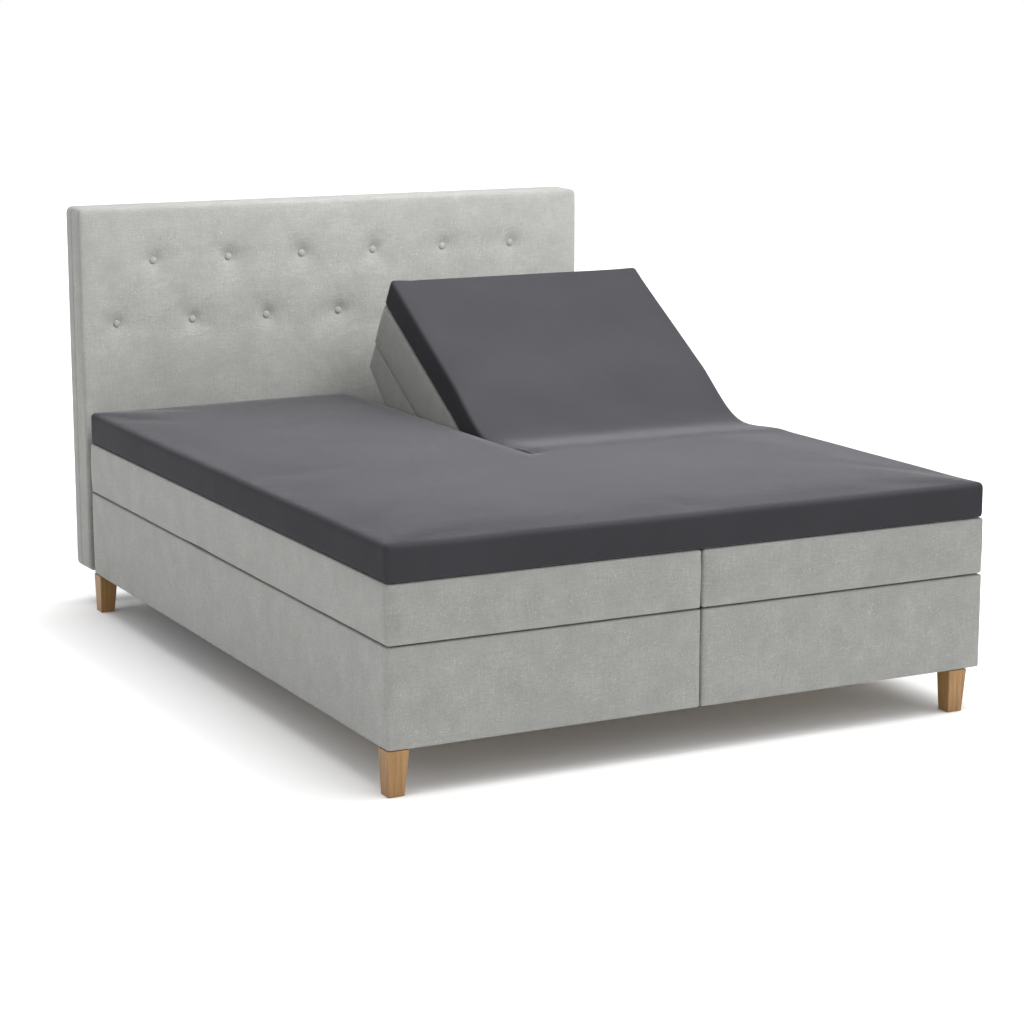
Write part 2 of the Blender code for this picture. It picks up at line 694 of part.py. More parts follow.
# ---------------------------------------------------------------- topper over both units
def build_topper(hip, knee):
    low, high = TOPPER_BOTTOM, TOPPER_TOP
    seat = side_profile(seat_outline(low, high), -HALF_WIDTH, HALF_WIDTH)
    place("topper_seat", seat, "dark_sheet")
    bend = side_profile(hip_bend_outline(low, high), -HALF_WIDTH, HALF_WIDTH)
    place("topper_hip_bend", bend, "dark_sheet")
    thigh = side_profile(thigh_outline(low, high), -HALF_WIDTH, HALF_WIDTH)
    place("topper_thigh", thigh, "dark_sheet", parent=hip)
    calf = box((-HALF_WIDTH, FOOT_Y, low), (HALF_WIDTH, KNEE_PIVOT[0] - TOUCH, high))
    place("topper_calf", calf, "dark_sheet", parent=knee)


clear_scene()
PARTS = new_collection("adjustable_bed")
CUTTERS = new_collection("cutters", hidden=True)

build_headboard()
build_centre_legs()
hinges = {}
for side_name, side_sign in SIDES.items():
    build_base_box(side_name, side_sign)
    build_oak_legs(side_name, side_sign)
    build_mechanism_frame(side_name, side_sign)
    build_motor(side_name, side_sign)
    build_seat(side_name, side_sign)
    build_back_section(side_name, side_sign)
    hinges[side_name] = build_leg_rest(side_name, side_sign)
build_topper(*hinges["left"])
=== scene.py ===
"""Looks of an adjustable double bed: woven grey upholstery, a buttoned headboard and a dark split topper.

Lengths are metres in the frame's own axes, with +Y towards the headboard and +Z up. Each soft piece
is made lying flat, swelled by a cloth simulation where that shows, and bent to its place at rest.
"""

import json
from math import ceil, cos, pi, radians, sin

import bmesh
import bpy
import numpy as np
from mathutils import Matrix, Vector, noise


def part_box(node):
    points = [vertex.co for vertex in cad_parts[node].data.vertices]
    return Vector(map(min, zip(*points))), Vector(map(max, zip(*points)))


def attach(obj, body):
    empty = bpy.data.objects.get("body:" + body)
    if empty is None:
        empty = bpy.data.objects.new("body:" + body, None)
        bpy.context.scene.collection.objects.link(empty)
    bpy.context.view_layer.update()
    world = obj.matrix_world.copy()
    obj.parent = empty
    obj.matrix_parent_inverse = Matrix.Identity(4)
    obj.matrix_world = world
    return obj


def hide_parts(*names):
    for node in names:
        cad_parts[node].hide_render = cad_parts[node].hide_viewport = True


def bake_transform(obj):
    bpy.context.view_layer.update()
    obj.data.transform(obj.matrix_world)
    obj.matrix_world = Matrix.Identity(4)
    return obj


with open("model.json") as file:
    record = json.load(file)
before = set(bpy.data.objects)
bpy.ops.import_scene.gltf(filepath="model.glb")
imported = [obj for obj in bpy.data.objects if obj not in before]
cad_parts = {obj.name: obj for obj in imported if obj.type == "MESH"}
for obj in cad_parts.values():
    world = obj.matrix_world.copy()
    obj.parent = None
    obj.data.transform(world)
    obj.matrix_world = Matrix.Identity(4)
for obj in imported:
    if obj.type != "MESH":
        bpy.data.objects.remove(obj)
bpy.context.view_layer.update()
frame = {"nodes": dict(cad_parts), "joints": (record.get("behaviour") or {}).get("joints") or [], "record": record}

SIDES = {"left": -1, "right": 1}

# ---------------------------------------------------------------- sizes read from the frame
HINGES = {joint["name"]: joint for joint in frame["joints"]}


def hinge_place(name):
    """The (y, z) of a hinge's axis."""
    return HINGES[name]["pos_m"][1], HINGES[name]["pos_m"][2]


BACK_HINGE = hinge_place("back_lift_left")
KNEE_HINGE = hinge_place("calf_fold_left")
# The right back is stored raised by as much as its joint can go below rest.
RAISED = -radians(HINGES["back_lift_right"]["range_deg"][0])

# The soft pieces lie this far above what carries them, which shows as a dark seam.
TOPPER_SEAM = 0.001
MATTRESS_SEAM = 0.0025
TOPPER_LOW, TOPPER_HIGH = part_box("topper_calf")
TOPPER_LOW.z += TOPPER_SEAM
TOPPER_HIGH.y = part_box("topper_back_left")[1].y
MATTRESS_LOW, MATTRESS_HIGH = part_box("mattress_calf_right")
MATTRESS_LOW.z += MATTRESS_SEAM
MATTRESS_HIGH.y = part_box("mattress_back_left")[1].y
TRAY_LOW, TRAY_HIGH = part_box("back_tray_left")
PAD_LOW, PAD_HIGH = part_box("headboard_pad")
BOARD_LOW, BOARD_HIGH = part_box("headboard_board")
BASE_OUTER_LOW, BASE_OUTER_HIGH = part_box("base_side_outer_right")
BASE_INNER_LOW, BASE_INNER_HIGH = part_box("base_side_inner_right")
BASE_HEAD_LOW, BASE_HEAD_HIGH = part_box("base_head_right")
HEAD_Y = TOPPER_HIGH.y

# ---------------------------------------------------------------- where the soft pieces bend
# Places along the bed. Two cuts part each soft layer in three.
BACK_CUT = BACK_HINGE[0] - 0.360
KNEE_CUT = KNEE_HINGE[0] + 0.155
RAISED_BEND_LENGTH = 0.450
# Foam bunches up inside the right back's fold by up to FOLD_FILL, over FOLD_REACH to each side of FOLD_Y.
FOLD_FILL = 0.011
FOLD_REACH = 0.250
FOLD_Y = BACK_HINGE[0] - 0.010
HALVINGS = 40


def raised_bend():
    """The start and end, as (y, z), of the right back's bend: along the line halfway between its two ends."""
    way = np.array([cos(RAISED / 2), sin(RAISED / 2)])
    middle = np.array(BACK_HINGE)
    return middle - way * RAISED_BEND_LENGTH / 2, middle + way * RAISED_BEND_LENGTH / 2


def smooth_share(y, z, start, end):
    along = end - start
    share = ((y - start[0]) * along[0] + (z - start[1]) * along[1]) / (along @ along)
    share = np.clip(share, 0, 1)
    return share * share * (3 - 2 * share)


def turn(y, z, angle):
    """Points turned about the back hinge, the head end going up."""
    dy, dz = y - BACK_HINGE[0], z - BACK_HINGE[1]
    c, s = np.cos(angle), np.sin(angle)
    return BACK_HINGE[0] + dy * c - dz * s, BACK_HINGE[1] + dy * s + dz * c


def raise_points(points):
    """The place at rest of points of the flat right side, such that lowering the back makes it flat again."""
    start, end = raised_bend()
    y, z = points[:, 1], points[:, 2]
    low, high = np.zeros(len(points)), np.ones(len(points))
    for _ in range(HALVINGS):
        share = (low + high) / 2
        ahead = smooth_share(*turn(y, z, RAISED * share), start, end) > share
        low, high = np.where(ahead, share, low), np.where(ahead, high, share)
    share = (low + high) / 2
    y, z = turn(y, z, RAISED * share)
    return np.column_stack([points[:, 0], y, z])


def filled(points):
    """Lifts the flat right side a little where it will fold."""
    offset = (points[:, 1] - FOLD_Y) / FOLD_REACH
    height = np.clip((points[:, 2] - MATTRESS_LOW.z) / (MATTRESS_HIGH.z - MATTRESS_LOW.z), 0, 1)
    moved = points.copy()
    moved[:, 2] += FOLD_FILL * np.exp(-(offset**4)) * height
    return moved


def bend_back(piece, side):
    """Raises a flat right piece to its place at rest over its back hinge; a left piece stays flat. Each has its
    transform baked in.
    """
    if side == "left":
        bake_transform(piece)
        return
    set_points(piece.data, raise_points(filled(points_of(piece.data))))
    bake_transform(piece)


def bend_level(piece):
    """Bakes a flat piece's transform into its mesh."""
    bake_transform(piece)


# ---------------------------------------------------------------- meshes
def points_of(mesh):
    """The mesh's points as an array of rows (x, y, z)."""
    points = np.empty(len(mesh.vertices) * 3)
    mesh.vertices.foreach_get("co", points)
    return points.reshape(-1, 3)


def set_points(mesh, points):
    mesh.vertices.foreach_set("co", np.ascontiguousarray(points, np.float32).ravel())
    mesh.update()


def new_object(name, mesh, *materials):
    obj = bpy.data.objects.new(name, mesh)
    bpy.context.scene.collection.objects.link(obj)
    for material in materials:
        mesh.materials.append(material)
    return obj


def keep_cloth_place(mesh):
    """Stores each point's place on the flat cloth, for the materials to follow."""
    attribute = mesh.attributes.get("cloth") or mesh.attributes.new("cloth", "FLOAT_VECTOR", "POINT")
    attribute.data.foreach_set("vector", points_of(mesh).astype(np.float32).ravel())


# Where the grid lines lie over a rounding, as shares of its radius.
ROUND_STOPS = (0.10, 0.30, 0.60, 1.0)


def grid_lines(low, high, step, round_low=0.0, round_high=0.0, keep=()):
    """Grid lines from low to high, closer together over the rounding at each end."""
    lines = [low, high]
    lines += [low + share * round_low for share in ROUND_STOPS if round_low]
    lines += [high - share * round_high for share in ROUND_STOPS if round_high]
    start, end = low + round_low, high - round_high
    count = max(1, ceil((end - start) / step - 0.01))
    lines += [start + (end - start) * i / count for i in range(count + 1)]
    clear = [line for line in lines if all(abs(line - kept) > 0.002 for kept in keep)]
    lines = sorted(clear + list(keep))
    return np.array([a for a, b in zip(lines, lines[1:] + [high + 1]) if b - a > 1e-5])


def middles(lines):
    """The places halfway between neighbouring grid lines."""
    return (lines[1:] + lines[:-1]) / 2


def skin(name, xs, ys, zs, solid):
    """A closed mesh round the solid cells of a grid."""
    padded = np.pad(solid, 1)
    size = (len(xs), len(ys), len(zs))
    index = np.arange(size[0] * size[1] * size[2]).reshape(size)
    quads = []
    for axis in range(3):
        first, second = (axis + 1) % 3, (axis + 2) % 3
        low = [slice(1, -1)] * 3
        high = [slice(1, -1)] * 3
        low[axis], high[axis] = slice(0, -1), slice(1, None)
        before, after = padded[tuple(low)], padded[tuple(high)]
        for mask, order in ((before & ~after, 1), (after & ~before, -1)):
            cells = np.argwhere(mask)
            corners = []
            for a, b in ((0, 0), (1, 0), (1, 1), (0, 1)):
                corner = cells.copy()
                corner[:, first] += a
                corner[:, second] += b
                corners.append(index[tuple(corner.T)])
            quads.append(np.column_stack(corners)[:, ::order])
    quads = np.concatenate(quads)
    used, quads = np.unique(quads, return_inverse=True)
    i, j, k = np.unravel_index(used, size)
    points = np.column_stack([xs[i], ys[j], zs[k]])
    mesh = bpy.data.meshes.new(name)
    mesh.from_pydata(points.tolist(), [], quads.reshape(-1, 4).tolist())
    mesh.shade_smooth()
    return mesh


def block(name, xs, ys, zs):
    """A closed mesh round the whole grid."""
    return skin(name, xs, ys, zs, np.ones((len(xs) - 1, len(ys) - 1, len(zs) - 1), bool))


def mirrored(mesh, points):
    """The points on the other side of the bed's middle, with the mesh's faces turned to match."""
    mesh.flip_normals()
    return points * (-1, 1, 1)


def rounded(points, sides):
    """Rounds a box's edges. For each axis, sides holds low, its radius, high and its radius.

    Each of them is a number, or an array with a value for each point.
    """
    inner, offset, radius = points.copy(), np.zeros_like(points), np.ones_like(points)
    for axis, (low, low_radius, high, high_radius) in enumerate(sides):
        place = points[:, axis]
        for edge, reach, way in ((low, low_radius, 1), (high, high_radius, -1)):
            reach = np.broadcast_to(np.maximum(reach, 1e-6), place.shape)
            core = edge + way * reach
            near = (place - core) * way < 0
            inner[near, axis] = np.broadcast_to(core, place.shape)[near]
            radius[near, axis] = reach[near]
            offset[near, axis] = ((place - core) / reach)[near]
    length = np.maximum(np.linalg.norm(offset, axis=1), 1)[:, None]
    return inner + radius * offset / length


def crowned_sides(points, low, high, amount):
    """Bulges the upright faces of a box: most halfway up, and not at the top and bottom edges."""
    share = (points[:, 2] - low.z) / (high.z - low.z)
    bulge = amount * 4 * share * (1 - share)
    moved = points.copy()
    for axis in (0, 1):
        for edge, way in ((low[axis], -1), (high[axis], 1)):
            ends = np.abs(points[:, axis] - edge) < 1e-4
            moved[ends, axis] += way * bulge[ends]
    return moved


def subdivided(mesh):
    """The mesh after one level of Catmull-Clark subdivision."""
    obj = new_object("subdividing", mesh)
    modifier = obj.modifiers.new("finer", "SUBSURF")
    modifier.levels = modifier.render_levels = 1
    result = bpy.data.meshes.new_from_object(obj.evaluated_get(bpy.context.evaluated_depsgraph_get()))
    bpy.data.objects.remove(obj)
    return result


def slice_of(mesh, name, y_from, y_to, side=0):
    """The closed part of a mesh between two places along the bed, on one side of the middle or on both."""
    bm = bmesh.new()
    bm.from_mesh(mesh)
    for place, normal in ((y_from, -1), (y_to, 1)):
        if place is None:
            continue
        everything = bm.verts[:] + bm.edges[:] + bm.faces[:]
        bmesh.ops.bisect_plane(
            bm, geom=everything, dist=1e-6, plane_co=(0, place, 0), plane_no=(0, normal, 0), clear_outer=True
        )
    if side:
        other = [f for f in bm.faces if f.calc_center_median().x * side < 0]
        bmesh.ops.delete(bm, geom=other, context="FACES")
    rim = [e for e in bm.edges if e.is_boundary]
    caps = bmesh.ops.holes_fill(bm, edges=rim)["faces"]
    for edge in rim:
        edge.smooth = False
    bmesh.ops.recalc_face_normals(bm, faces=bm.faces)
    for face in caps:
        face.smooth = False
    part = bpy.data.meshes.new(name)
    bm.to_mesh(part)
    bm.free()
    return part


# ---------------------------------------------------------------- cloth
SWELL_FRAMES = 20
SWELL_STIFFNESS = 20.0


def swell(obj, held, pressure, cap):
    """Swells a piece by cloth pressure. The held points stay, and no point moves further than the cap."""
    scene = bpy.context.scene
    before = points_of(obj.data)
    group = obj.vertex_groups.new(name="held")
    group.add([int(i) for i in np.flatnonzero(held)], 1.0, "REPLACE")
    modifier = obj.modifiers.new("swell", "CLOTH")
    modifier.point_cache.frame_start = 1
    modifier.point_cache.frame_end = SWELL_FRAMES
    cloth = modifier.settings
    cloth.quality = 4
    cloth.mass = 0.4
    cloth.tension_stiffness = cloth.compression_stiffness = SWELL_STIFFNESS
    cloth.shear_stiffness = SWELL_STIFFNESS / 3
    cloth.bending_stiffness = 2.0
    cloth.use_pressure = True
    cloth.uniform_pressure_force = pressure
    cloth.vertex_group_mass = "held"
    cloth.effector_weights.gravity = 0
    for frame_number in range(1, SWELL_FRAMES + 1):
        scene.frame_set(frame_number)
    evaluated = obj.evaluated_get(bpy.context.evaluated_depsgraph_get())
    move = points_of(evaluated.data) - before
    obj.modifiers.remove(modifier)
    obj.vertex_groups.clear()
    scene.frame_set(1)
    length = np.linalg.norm(move, axis=1)
    allowed = cap * np.tanh(length / cap)
    set_points(obj.data, before + move * (allowed / np.maximum(length, 1e-9))[:, None])


def ripple(points, scale, seed):
    """Soft noise from -1 to 1 at each point, with features about 1 / scale metres across."""
    shift = Vector((seed, 2.7 * seed, 5.1 * seed))
    return np.array([noise.noise(Vector(point) * scale + shift) for point in points])


# ---------------------------------------------------------------- materials
def new_material(name):
    """A new material with its node tree and its shader."""
    material = bpy.data.materials.new(name)
    material.use_nodes = True
    tree = material.node_tree
    return material, tree, tree.nodes["Principled BSDF"]


def node(tree, kind, **values):
    """A new node with its properties and the values of its inputs set."""
    made = tree.nodes.new(kind)
    for name, value in values.items():
        if name in made.inputs:
            made.inputs[name].default_value = value
        else:
            setattr(made, name, value)
    return made


def link(tree, source, target):
    tree.links.new(source, target)


def scaled(tree, place, factors):
    """The coordinates stretched by a factor along each axis."""
    mapping = node(tree, "ShaderNodeMapping", Scale=factors)
    link(tree, place, mapping.inputs["Vector"])
    return mapping.outputs["Vector"]


def noise_value(tree, place, scale, detail, rough):
    """Soft noise, mostly between 0.3 and 0.7, with features about 1 / scale metres across."""
    made = node(tree, "ShaderNodeTexNoise", Scale=scale, Detail=detail, Roughness=rough)
    link(tree, place, made.inputs["Vector"])
    return made.outputs["Fac"]


def ranged(tree, value, low, high, from_low=0.3, from_high=0.7):
    """The value stretched from its usual span to low ... high."""
    made = node(tree, "ShaderNodeMapRange")
    for name, number in (("From Min", from_low), ("From Max", from_high), ("To Min", low), ("To Max", high)):
        made.inputs[name].default_value = number
    link(tree, value, made.inputs["Value"])
    return made.outputs["Result"]


def maths(tree, operation, first, second):
    """The result of a sum on two values, each a number or another node's output."""
    made = node(tree, "ShaderNodeMath", operation=operation)
    for place, value in enumerate((first, second)):
        if isinstance(value, (int, float)):
            made.inputs[place].default_value = value
        else:
            link(tree, value, made.inputs[place])
    return made.outputs[0]


def mixed(tree, share, first, second):
    """The colour between first and second; each is a colour or another node's output."""
    made = node(tree, "ShaderNodeMix", data_type="RGBA")
    link(tree, share, made.inputs[0])
    for place, value in ((6, first), (7, second)):
        if isinstance(value, tuple):
            made.inputs[place].default_value = (*value, 1)
        else:
            link(tree, value, made.inputs[place])
    return made.outputs[2]


def bumped(tree, shader, height, distance, strength):
    """Gives the shader a fine relief of the height."""
    made = node(tree, "ShaderNodeBump", Strength=strength, Distance=distance)
    link(tree, height, made.inputs["Height"])
    link(tree, made.outputs["Normal"], shader.inputs["Normal"])


def weave_height(tree, place, pitch):
    """A plain weave: a wave along each axis, so that two of them cross on any upright or level face."""
    wobble = node(tree, "ShaderNodeTexNoise", Scale=120.0, Detail=1.0)
    link(tree, place, wobble.inputs["Vector"])
    shift = node(tree, "ShaderNodeVectorMath", operation="SCALE", Scale=pitch * 0.9)
    link(tree, wobble.outputs["Color"], shift.inputs[0])
    moved = node(tree, "ShaderNodeVectorMath", operation="ADD")
    link(tree, place, moved.inputs[0])
    link(tree, shift.outputs[0], moved.inputs[1])
    axes = node(tree, "ShaderNodeSeparateXYZ")
    link(tree, moved.outputs[0], axes.inputs[0])
    waves = [
        maths(tree, "SINE", maths(tree, "MULTIPLY", axes.outputs[axis], 2 * pi / pitch), 0.0)
        for axis in range(3)
    ]
    return maths(tree, "ADD", maths(tree, "ADD", waves[0], waves[1]), waves[2])


def cloth_place(tree):
    """The place on the flat cloth, which keep_cloth_place has stored."""
    return node(tree, "ShaderNodeAttribute", attribute_name="cloth").outputs["Vector"]


def woven_grey():
    """Light grey melange upholstery: a coarse weave of pale and darker yarns, with flecks and soft clouds."""
    material, tree, shader = new_material("woven_grey")
    place = cloth_place(tree)
    weave = weave_height(tree, place, 0.0026)
    upright = noise_value(tree, scaled(tree, place, (1.0, 1.0, 0.12)), 260.0, 3.0, 0.6)
    level = noise_value(tree, scaled(tree, place, (0.12, 0.12, 1.0)), 260.0, 3.0, 0.6)
    yarns = maths(tree, "ADD", maths(tree, "MULTIPLY", upright, 0.5), maths(tree, "MULTIPLY", level, 0.5))
    clouds = noise_value(tree, place, 16.0, 4.0, 0.60)
    flecks = noise_value(tree, place, 330.0, 1.0, 0.5)
    patches = noise_value(tree, place, 22.0, 2.0, 0.5)
    dark_yarn, pale_yarn = (0.250, 0.253, 0.240), (0.318, 0.321, 0.304)
    base = mixed(tree, ranged(tree, yarns, 0.0, 1.0, 0.34, 0.66), dark_yarn, pale_yarn)
    base = mixed(tree, ranged(tree, clouds, 0.0, 0.75), base, (0.232, 0.235, 0.222))
    pale_flecks = ranged(tree, flecks, 0.0, 0.60, 0.62, 0.78)
    tufts = maths(tree, "MULTIPLY", pale_flecks, ranged(tree, patches, 0.15, 1.0))
    base = mixed(tree, tufts, base, (0.56, 0.56, 0.53))
    base = mixed(tree, ranged(tree, flecks, 0.70, 0.0, 0.26, 0.36), base, (0.17, 0.172, 0.165))
    link(tree, base, shader.inputs["Base Color"])
    shader.inputs["Roughness"].default_value = 0.92
    shader.inputs["Specular IOR Level"].default_value = 0.25
    shader.inputs["Sheen Weight"].default_value = 0.18
    shader.inputs["Sheen Roughness"].default_value = 0.5
    fuzz = noise_value(tree, place, 520.0, 2.0, 0.7)
    height = maths(tree, "ADD", maths(tree, "MULTIPLY", weave, 0.30), maths(tree, "MULTIPLY", fuzz, 1.2))
    height = maths(tree, "ADD", height, maths(tree, "MULTIPLY", yarns, 1.6))
    bumped(tree, shader, height, 0.0006, 0.75)
    return material


def dark_cotton():
    """A dark grey fitted sheet: a fine smooth weave with a soft sheen at a low angle."""
    material, tree, shader = new_material("dark_cotton")
    place = cloth_place(tree)
    weave = weave_height(tree, place, 0.0011)
    clouds = noise_value(tree, place, 5.0, 3.0, 0.5)
    threads = noise_value(tree, place, 700.0, 2.0, 0.6)
    base = mixed(tree, ranged(tree, clouds, 0.0, 1.0), (0.0340, 0.0330, 0.0368), (0.0395, 0.0385, 0.0428))
    base = mixed(tree, ranged(tree, threads, 0.0, 0.5), base, (0.0510, 0.0497, 0.0550))
    link(tree, base, shader.inputs["Base Color"])
    shader.inputs["Roughness"].default_value = 0.52
    shader.inputs["Specular IOR Level"].default_value = 0.0
    shader.inputs["Sheen Weight"].default_value = 0.85
    shader.inputs["Sheen Roughness"].default_value = 0.19
    shader.inputs["Sheen Tint"].default_value = (0.97, 0.96, 1.0, 1)
    slack = noise_value(tree, place, 14.0, 3.0, 0.5)
    height = maths(tree, "ADD", maths(tree, "MULTIPLY", weave, 0.10), maths(tree, "MULTIPLY", threads, 0.5))
    height = maths(tree, "ADD", height, maths(tree, "MULTIPLY", slack, 1.6))
    bumped(tree, shader, height, 0.0005, 0.6)
    return material


def lining_black():
    """Thin black non-woven cloth, as stapled under a bed box and behind a headboard."""
    material, tree, shader = new_material("lining_black")
    place = cloth_place(tree)
    fibres = noise_value(tree, place, 420.0, 4.0, 0.7)
    clouds = noise_value(tree, place, 25.0, 2.0, 0.5)
    base = mixed(tree, ranged(tree, fibres, 0.0, 1.0), (0.018, 0.018, 0.020), (0.045, 0.045, 0.048))
    base = mixed(tree, ranged(tree, clouds, 0.0, 0.4), base, (0.03, 0.03, 0.032))
    link(tree, base, shader.inputs["Base Color"])
    shader.inputs["Roughness"].default_value = 0.95
    bumped(tree, shader, fibres, 0.0004, 0.7)
    return material


def wood(name, pale, dark, roughness, grain_axis):
    """Oiled wood whose rings run along one axis."""
    material, tree, shader = new_material(name)
    place = node(tree, "ShaderNodeTexCoord").outputs["Object"]
    along = [1.0, 1.0, 1.0]
    along[grain_axis] = 0.06
    stretched = scaled(tree, place, tuple(along))
    bends = noise_value(tree, stretched, 30.0, 2.0, 0.5)
    rings = node(tree, "ShaderNodeTexNoise", Scale=150.0, Detail=4.0, Roughness=0.65, Distortion=0.6)
    link(tree, stretched, rings.inputs["Vector"])
    pores = noise_value(tree, stretched, 900.0, 2.0, 0.6)
    base = mixed(tree, ranged(tree, rings.outputs["Fac"], 0.0, 1.0), pale, dark)
    base = mixed(tree, ranged(tree, bends, 0.0, 0.35), base, dark)
    base = mixed(tree, ranged(tree, pores, 0.35, 0.0, 0.28, 0.42), base, tuple(0.45 * c for c in dark))
    link(tree, base, shader.inputs["Base Color"])
    dullness = ranged(tree, rings.outputs["Fac"], roughness - 0.07, roughness + 0.10)
    link(tree, dullness, shader.inputs["Roughness"])
    height = maths(tree, "ADD", rings.outputs["Fac"], maths(tree, "MULTIPLY", pores, 1.5))
    bumped(tree, shader, height, 0.0003, 0.5)
    return material


def metal(name, colour, metallic, roughness, grain):
    """Coated or plated steel with a fine skin and faint handling marks."""
    material, tree, shader = new_material(name)
    place = node(tree, "ShaderNodeTexCoord").outputs["Object"]
    marks = noise_value(tree, place, 22.0, 4.0, 0.6)
    skin_noise = noise_value(tree, place, grain, 2.0, 0.6)
    worn = tuple(min(1.0, 1.35 * c + 0.01) for c in colour)
    link(tree, mixed(tree, ranged(tree, marks, 0.0, 0.6), colour, worn), shader.inputs["Base Color"])
    link(tree, ranged(tree, marks, roughness - 0.06, roughness + 0.12), shader.inputs["Roughness"])
    shader.inputs["Metallic"].default_value = metallic
    bumped(tree, shader, skin_noise, 0.0002, 0.35)
    return material


GREY = woven_grey()
SHEET = dark_cotton()
LINING = lining_black()
CAD_MATERIALS = {
    "oak": wood("oiled_oak", (0.350, 0.196, 0.066), (0.222, 0.112, 0.034), 0.42, 2),
    "plywood": wood("birch_plywood", (0.60, 0.46, 0.29), (0.46, 0.33, 0.19), 0.55, 1),
    "black_steel": metal("black_powder_coat", (0.022, 0.022, 0.024), 0.0, 0.48, 650.0),
    "zinc_steel": metal("zinc_plate", (0.60, 0.61, 0.62), 1.0, 0.34, 380.0),
    "motor_plastic": metal("motor_plastic", (0.030, 0.030, 0.033), 0.0, 0.55, 900.0),
}


def paint_cad_nodes():
    """Each CAD node that stays gets the finish of its material slot."""
    for part in frame["record"]["subparts"]:
        material = CAD_MATERIALS.get(part["material_slot"])
        if material:
            mesh = frame["nodes"][part["node"]].data
            mesh.materials.clear()
            mesh.materials.append(material)


# ---------------------------------------------------------------- topper
TOPPER_EDGE = 0.015
TOPPER_UNDER_EDGE = 0.011
TOPPER_STEP = 0.025
TOPPER_CUT = BACK_CUT + 0.001
SLIT_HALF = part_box("topper_back_left")[1].x * -1
SLIT_EDGE = 0.011
# The slit opens to its full width over this length, from this share of it at its end.
SLIT_OPENING = 0.110
SLIT_END_SHARE = 0.15
TOPPER_WAVE = 0.0016
TOPPER_RIPPLE = 0.0003
# Room left for the cloth to swell into, within the CAD's box.
SWELL_ROOM = 0.003


def topper_mesh():
    """The whole topper lying flat, as one closed form that is slit from the back cut to the head end."""
    inner = [way * (SLIT_HALF + share * SLIT_EDGE) for way in (-1, 1) for share in (0, *ROUND_STOPS)]
    xs = grid_lines(TOPPER_LOW.x, TOPPER_HIGH.x, TOPPER_STEP, TOPPER_EDGE, TOPPER_EDGE, inner)
    near_cuts = [BACK_CUT, BACK_CUT + 0.012, BACK_CUT + 0.030, KNEE_CUT]
    ys = grid_lines(TOPPER_LOW.y, HEAD_Y, TOPPER_STEP, TOPPER_EDGE, TOPPER_EDGE, near_cuts)
    top = TOPPER_HIGH.z - SWELL_ROOM
    zs = grid_lines(TOPPER_LOW.z, top, 0.020, TOPPER_UNDER_EDGE, TOPPER_EDGE)
    solid = np.ones((len(xs) - 1, len(ys) - 1, len(zs) - 1), bool)
    slit = np.abs(middles(xs)) < SLIT_HALF
    solid[np.ix_(slit, middles(ys) > BACK_CUT)] = False
    mesh = skin("topper", xs, ys, zs, solid)

    points = points_of(mesh)
    open_share = np.clip((points[:, 1] - BACK_CUT) / SLIT_OPENING, 0, 1) ** 0.7
    slit_edge = np.where(points[:, 1] > BACK_CUT, open_share * SLIT_EDGE, 0)
    low = np.where((points[:, 0] > 0) & (slit_edge > 0), SLIT_HALF, TOPPER_LOW.x)
    high = np.where((points[:, 0] < 0) & (slit_edge > 0), -SLIT_HALF, TOPPER_HIGH.x)
    low_edge = np.where(low > 0, slit_edge, TOPPER_EDGE)
    high_edge = np.where(high < 0, slit_edge, TOPPER_EDGE)
    points = rounded(
        points,
        (
            (low, low_edge, high, high_edge),
            (TOPPER_LOW.y, TOPPER_EDGE, HEAD_Y, TOPPER_EDGE),
            (TOPPER_LOW.z, TOPPER_UNDER_EDGE, top, TOPPER_EDGE),
        ),
    )
    at_slit = (np.abs(points[:, 0]) < SLIT_HALF + 1e-4) & (points[:, 1] >= BACK_CUT)
    points[at_slit, 0] *= SLIT_END_SHARE + (1 - SLIT_END_SHARE) * open_share[at_slit]
    set_points(mesh, points)
    return mesh


def soften_topper(obj):
    """Swells the cover a little, and gives its top the slight unevenness of foam under cotton."""
    points = points_of(obj.data)
    by_slit = (np.abs(points[:, 0]) < SLIT_HALF + 2 * SLIT_EDGE) & (points[:, 1] > BACK_CUT - 0.02)
    under = points[:, 2] < TOPPER_LOW.z + 0.003
    swell(obj, by_slit | under, pressure=3.0, cap=0.0045)
    points = points_of(obj.data)
    above = np.clip((points[:, 2] - TOPPER_LOW.z) / 0.06, 0, 1)
    away = np.clip((np.abs(points[:, 0]) - SLIT_HALF) / 0.05, 0, 1)
    away = np.where(points[:, 1] > BACK_CUT - 0.02, away, 1)
    uneven = TOPPER_WAVE * ripple(points, 3.1, 1) + TOPPER_RIPPLE * ripple(points, 11.0, 2)
    points[:, 2] += above * away * uneven
    set_points(obj.data, points)


def build_topper():
    """The topper in four pieces: one on each side of the slit, the middle and the foot."""
    whole = new_object("topper_whole", topper_mesh())
    soften_topper(whole)
    mesh = subdivided(whole.data.copy())
    bpy.data.objects.remove(whole)
    mesh.shade_smooth()
    keep_cloth_place(mesh)
    spans = {
        "topper_head_left": (TOPPER_CUT, None, -1),
        "topper_head_right": (TOPPER_CUT, None, 1),
        "topper_middle": (KNEE_CUT, TOPPER_CUT, 0),
        "topper_foot": (None, KNEE_CUT, 0),
    }
    pieces = {name: new_object(name, slice_of(mesh, name, *span), SHEET) for name, span in spans.items()}
    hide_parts("topper_back_left", "topper_back_bend_left")
    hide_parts("topper_back_right", "topper_back_bend_right")
    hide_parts("topper_seat", "topper_hip_bend", "topper_thigh")
    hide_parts("topper_calf")
    bend_back(pieces["topper_head_left"], "left")
    bend_back(pieces["topper_head_right"], "right")
    bend_level(pieces["topper_middle"])
    bend_level(pieces["topper_foot"])


